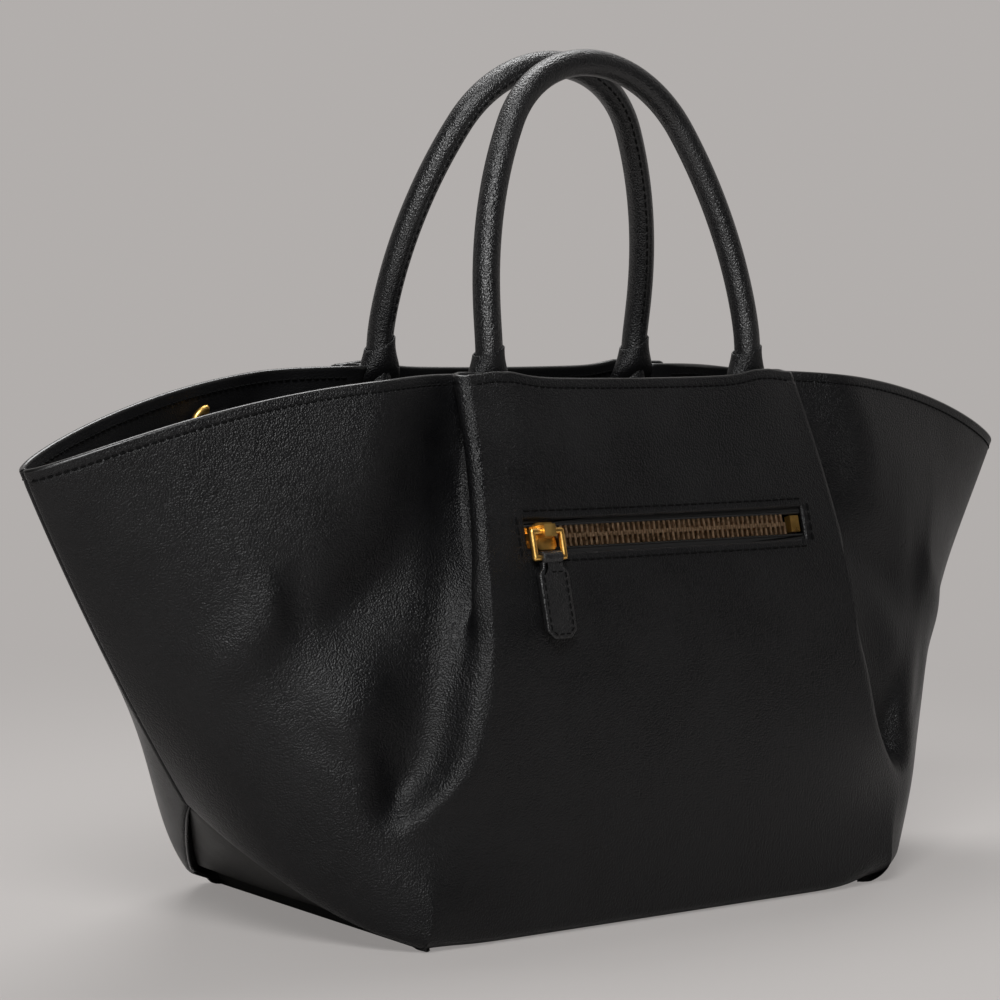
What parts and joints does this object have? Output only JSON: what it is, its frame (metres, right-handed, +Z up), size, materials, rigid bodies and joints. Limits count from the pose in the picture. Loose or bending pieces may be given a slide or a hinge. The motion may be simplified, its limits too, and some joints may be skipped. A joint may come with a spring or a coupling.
{
  "type": "trapeze bag",
  "caption": "Winged trapeze handbag with a pleated leather body, rolled top handles, an open mouth and a front zip pocket with a leather pull.",
  "frame": {"origin": "centre of the flat underside of the base, on the ground", "axes": "+X along the width of the bag towards its right wing tip as seen from the front, +Y from the front with the zip towards the back, +Z up"},
  "size_m": [0.498, 0.1613, 0.3378],
  "materials": {
    "body_leather": "satin",
    "base_leather": "matte",
    "lining": "matte",
    "board": "matte",
    "handle_leather": "satin",
    "handle_cord": "matte",
    "zip_tape": "matte",
    "gold_metal": "polished",
    "trim_leather": "satin"
  },
  "bodies": {
    "bag": {"front_panel": "body_leather", "back_panel": "body_leather", "front_facing": "body_leather", "back_facing": "body_leather", "base_panel": "base_leather", "front_lining": "lining", "back_lining": "lining", "base_lining": "lining", "pocket_bag": "lining", "left_seam_binding": "lining", "right_seam_binding": "lining", "base_board": "board", "front_left_anchor": "handle_leather", "front_right_anchor": "handle_leather", "back_left_anchor": "handle_leather", "back_right_anchor": "handle_leather", "zip_tape_upper": "zip_tape", "zip_tape_lower": "zip_tape", "zip_teeth_upper": "gold_metal", "zip_teeth_lower": "gold_metal", "zip_end_block": "gold_metal", "zip_top_stops": "gold_metal", "left_ring_tab": "trim_leather", "right_ring_tab": "trim_leather"},
    "front_handle": {"front_handle_cover": "handle_leather", "front_handle_core": "handle_cord"},
    "back_handle": {"back_handle_cover": "handle_leather", "back_handle_core": "handle_cord"},
    "zip_slider": {"zip_slider": "gold_metal", "zip_slider_back": "gold_metal"},
    "zip_stirrup": {"zip_stirrup": "gold_metal"},
    "zip_pull": {"zip_pull": "trim_leather"},
    "left_strap_ring": {"left_strap_ring": "gold_metal"},
    "right_strap_ring": {"right_strap_ring": "gold_metal"}
  },
  "joints": [
    {"name": "front_handle_fold", "type": "hinge", "parent": "bag", "child": "front_handle", "pos_m": [0, -0.035, 0.222], "axis": [1, 0, 0], "range_deg": [-1.5, 90]},
    {"name": "back_handle_fold", "type": "hinge", "parent": "bag", "child": "back_handle", "pos_m": [0, 0.035, 0.222], "axis": [-1, 0, 0], "range_deg": [-1.5, 90]},
    {"name": "zip_run", "type": "slide", "parent": "bag", "child": "zip_slider", "axis": [1, 0, 0], "range_m": [0, 0.123]},
    {"name": "stirrup_swing", "type": "hinge", "parent": "zip_slider", "child": "zip_stirrup", "pos_m": [-0.06405, -0.06877, 0.15326], "axis": [-1, 0, 0], "range_deg": [0, 120]},
    {"name": "pull_swing", "type": "hinge", "parent": "zip_stirrup", "child": "zip_pull", "pos_m": [-0.06405, -0.07151, 0.14365], "axis": [-1, 0, 0], "range_deg": [0, 60]},
    {"name": "left_ring_swing", "type": "hinge", "parent": "bag", "child": "left_strap_ring", "pos_m": [-0.15091, 0.03295, 0.18886], "axis": [-0.0802, -0.274, 0.9584], "range_deg": [0, 110]},
    {"name": "right_ring_swing", "type": "hinge", "parent": "bag", "child": "right_strap_ring", "pos_m": [0.15091, 0.03295, 0.18886], "axis": [-0.0802, 0.274, -0.9584], "range_deg": [0, 110]}
  ]
}
